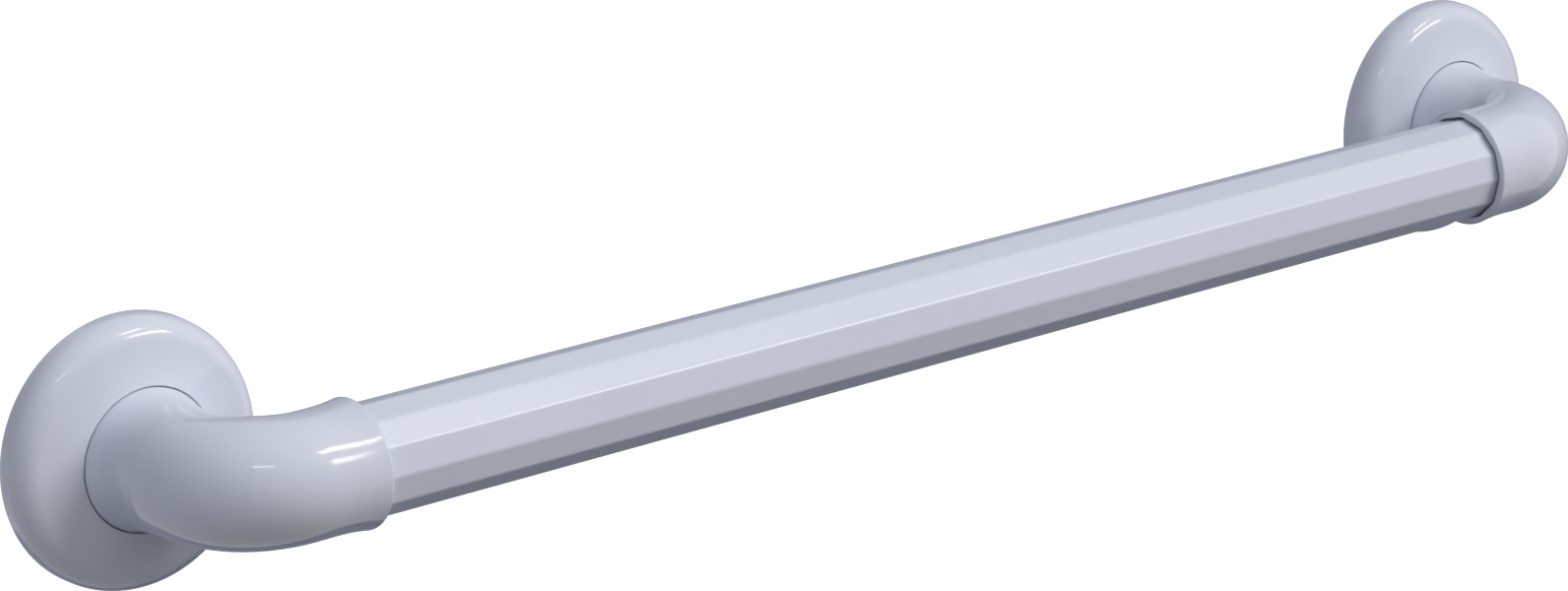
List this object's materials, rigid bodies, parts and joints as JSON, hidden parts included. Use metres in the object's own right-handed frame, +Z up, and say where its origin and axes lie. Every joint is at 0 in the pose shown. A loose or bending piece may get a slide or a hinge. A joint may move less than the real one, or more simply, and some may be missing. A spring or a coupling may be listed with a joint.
{
  "type": "grab bar",
  "caption": "Straight wall-mounted grab bar: faceted plastic grip on a metal core, between two moulded elbows that stand in round domed covers over steel wall plates.",
  "frame": {"origin": "on the wall, midway between the centres of the two flanges", "axes": "+X along the grip to the right as seen from the room, +Y into the wall, +Z up"},
  "size_m": [0.692, 0.0849, 0.092],
  "materials": {
    "grip_plastic": "smooth extruded plastic, soft gloss",
    "moulded_plastic": "smooth moulded plastic, gloss",
    "core_metal": "drawn, mill finish",
    "plate_steel": "zinc-plated, dull",
    "screw_steel": "zinc-plated, bright"
  },
  "bodies": {
    "root": {"grip_sleeve": "grip_plastic", "core_tube": "core_metal", "left_elbow": "moulded_plastic", "right_elbow": "moulded_plastic", "left_cover": "moulded_plastic", "right_cover": "moulded_plastic", "left_wall_plate": "plate_steel", "right_wall_plate": "plate_steel", "left_plate_screw_1": "screw_steel", "right_plate_screw_1": "screw_steel", "left_plate_screw_2": "screw_steel", "right_plate_screw_2": "screw_steel", "left_plate_screw_3": "screw_steel", "right_plate_screw_3": "screw_steel", "left_tube_screw": "screw_steel", "right_tube_screw": "screw_steel"}
  },
  "joints": []
}
